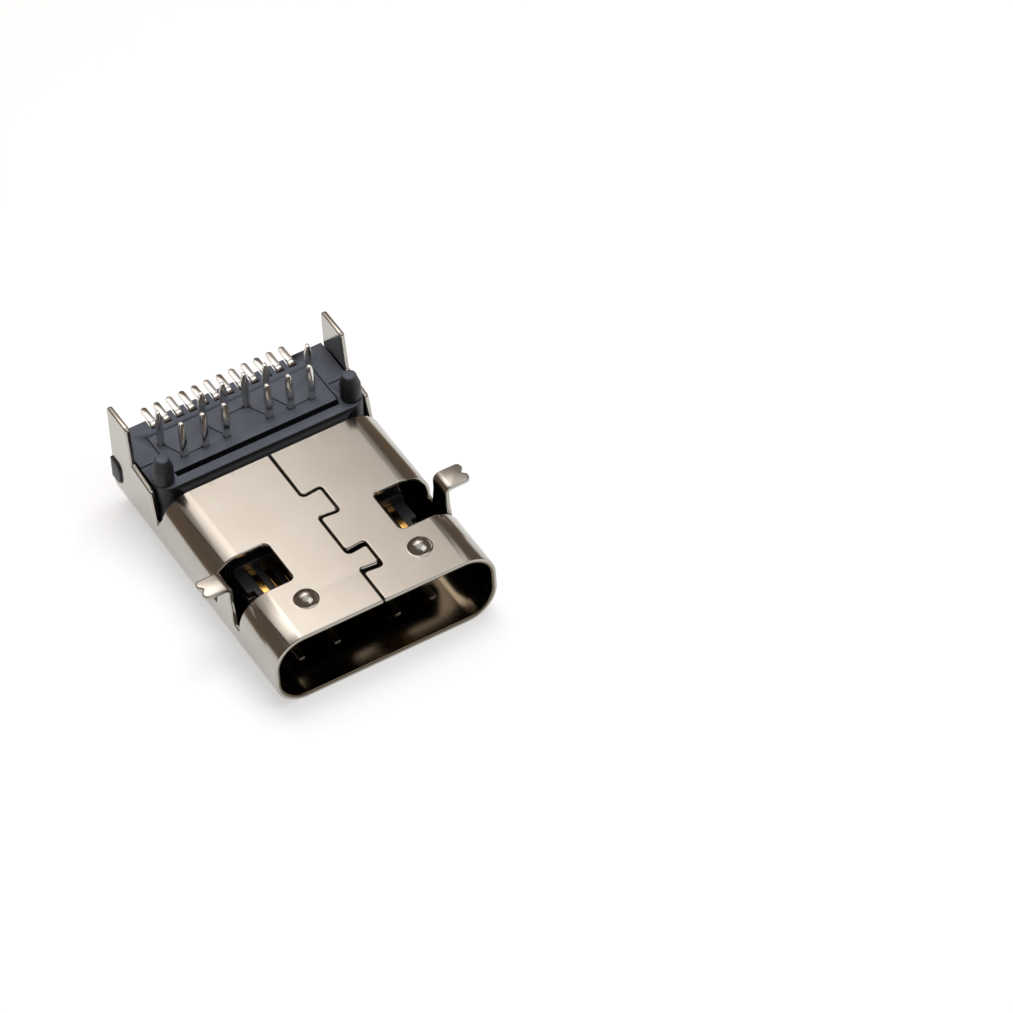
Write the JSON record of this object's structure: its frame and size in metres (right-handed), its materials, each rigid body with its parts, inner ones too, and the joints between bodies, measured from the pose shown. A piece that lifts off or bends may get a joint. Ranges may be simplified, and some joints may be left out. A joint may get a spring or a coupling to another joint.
{
  "type": "hybrid 24-contact reversible receptacle",
  "caption": "Board connector receptacle with a folded metal shell, a moulded housing and tongue, through-hole pins, surface tails, two posts and four legs.",
  "frame": {"origin": "below the middle of the whole part, on the flat back of the shell", "axes": "+Z from the flat back towards the board, -Y out of the mouth, +X across the mouth"},
  "size_m": [0.0104, 0.0122, 0.0048],
  "materials": {
    "shell": "warm nickel plating",
    "housing": "dark moulded polymer",
    "tongue": "black moulded polymer",
    "ground": "bare stainless sheet",
    "contact": "gold on the tongue, tin on the pins and tails"
  },
  "bodies": {
    "root": {"shell": "shell", "housing": "housing", "terminal_block": "housing", "tongue": "tongue", "middle_plate": "ground", "ground_collar": "ground", "ground_spring": "ground", "pin_contact_1": "contact", "pin_contact_2": "contact", "pin_contact_3": "contact", "pin_contact_4": "contact", "pin_contact_5": "contact", "pin_contact_6": "contact", "pin_contact_7": "contact", "pin_contact_8": "contact", "pin_contact_9": "contact", "pin_contact_10": "contact", "pin_contact_11": "contact", "pin_contact_12": "contact", "tail_contact_1": "contact", "tail_contact_2": "contact", "tail_contact_3": "contact", "tail_contact_4": "contact", "tail_contact_5": "contact", "tail_contact_6": "contact", "tail_contact_7": "contact", "tail_contact_8": "contact", "tail_contact_9": "contact", "tail_contact_10": "contact", "tail_contact_11": "contact", "tail_contact_12": "contact"}
  },
  "joints": []
}
